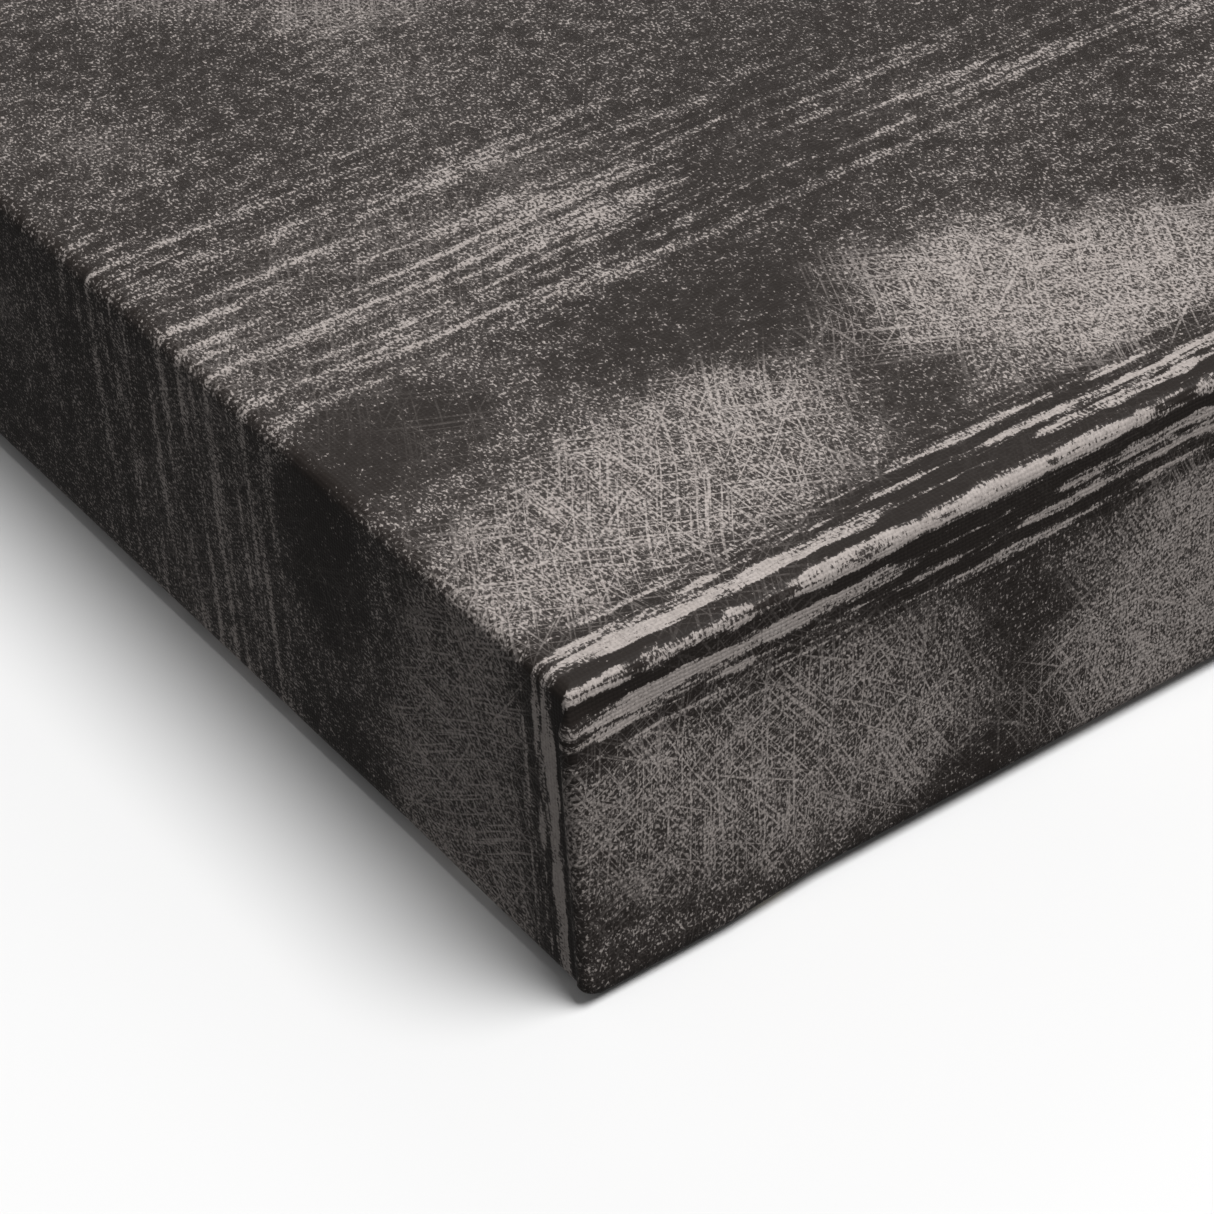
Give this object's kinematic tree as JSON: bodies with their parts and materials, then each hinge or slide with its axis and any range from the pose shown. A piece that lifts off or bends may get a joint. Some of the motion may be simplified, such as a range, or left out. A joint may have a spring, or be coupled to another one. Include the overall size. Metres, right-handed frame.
{
  "type": "stretched canvas",
  "caption": "Gallery-wrapped canvas print on a mitred, keyed wooden stretcher frame, folded and stapled at the back, with a ring hanger inside each side bar.",
  "frame": {"origin": "centre of the footprint, on the surface that the four folded back corners rest on", "axes": "+X across the picture, +Y up the picture (long side), +Z out of the printed face"},
  "size_m": [0.3, 0.4, 0.038],
  "materials": {
    "printed_canvas": "matt printed cotton canvas, weave showing, unprinted off-white on its back",
    "pine": "planed bare pine",
    "beech": "sawn bare beech",
    "staple_steel": "galvanised",
    "hanger_steel": "nickel plated",
    "screw_steel": "zinc plated"
  },
  "bodies": {
    "frame": {"canvas": "printed_canvas", "bar_bottom": "pine", "bar_right": "pine", "bar_top": "pine", "bar_left": "pine", "staples_bottom": "staple_steel", "staples_right": "staple_steel", "staples_top": "staple_steel", "staples_left": "staple_steel", "strap_left": "hanger_steel", "strap_right": "hanger_steel", "screw_left": "screw_steel", "screw_right": "screw_steel"},
    "key_bottom_bar_left": {"key_bottom_bar_left": "beech"},
    "key_bottom_bar_right": {"key_bottom_bar_right": "beech"},
    "key_right_bar_bottom": {"key_right_bar_bottom": "beech"},
    "key_right_bar_top": {"key_right_bar_top": "beech"},
    "key_top_bar_right": {"key_top_bar_right": "beech"},
    "key_top_bar_left": {"key_top_bar_left": "beech"},
    "key_left_bar_top": {"key_left_bar_top": "beech"},
    "key_left_bar_bottom": {"key_left_bar_bottom": "beech"},
    "ring_left": {"ring_left": "hanger_steel"},
    "ring_right": {"ring_right": "hanger_steel"}
  },
  "joints": [
    {"name": "draw_key_bottom_bar_left", "type": "slide", "parent": "frame", "child": "key_bottom_bar_left", "axis": [0, 1, 0], "range_m": [0, 0.03]},
    {"name": "draw_key_bottom_bar_right", "type": "slide", "parent": "frame", "child": "key_bottom_bar_right", "axis": [0, 1, 0], "range_m": [0, 0.03]},
    {"name": "draw_key_right_bar_bottom", "type": "slide", "parent": "frame", "child": "key_right_bar_bottom", "axis": [-1, 0, 0], "range_m": [0, 0.03]},
    {"name": "draw_key_right_bar_top", "type": "slide", "parent": "frame", "child": "key_right_bar_top", "axis": [-1, 0, 0], "range_m": [0, 0.03]},
    {"name": "draw_key_top_bar_right", "type": "slide", "parent": "frame", "child": "key_top_bar_right", "axis": [0, -1, 0], "range_m": [0, 0.03]},
    {"name": "draw_key_top_bar_left", "type": "slide", "parent": "frame", "child": "key_top_bar_left", "axis": [0, -1, 0], "range_m": [0, 0.03]},
    {"name": "draw_key_left_bar_top", "type": "slide", "parent": "frame", "child": "key_left_bar_top", "axis": [1, 0, 0], "range_m": [0, 0.03]},
    {"name": "draw_key_left_bar_bottom", "type": "slide", "parent": "frame", "child": "key_left_bar_bottom", "axis": [1, 0, 0], "range_m": [0, 0.03]},
    {"name": "swing_ring_left", "type": "hinge", "parent": "frame", "child": "ring_left", "pos_m": [-0.11132, 0.08, 0.014], "axis": [0, 0, -1], "range_deg": [0, 180]},
    {"name": "swing_ring_right", "type": "hinge", "parent": "frame", "child": "ring_right", "pos_m": [0.11132, 0.08, 0.014], "axis": [0, 0, 1], "range_deg": [0, 180]}
  ]
}
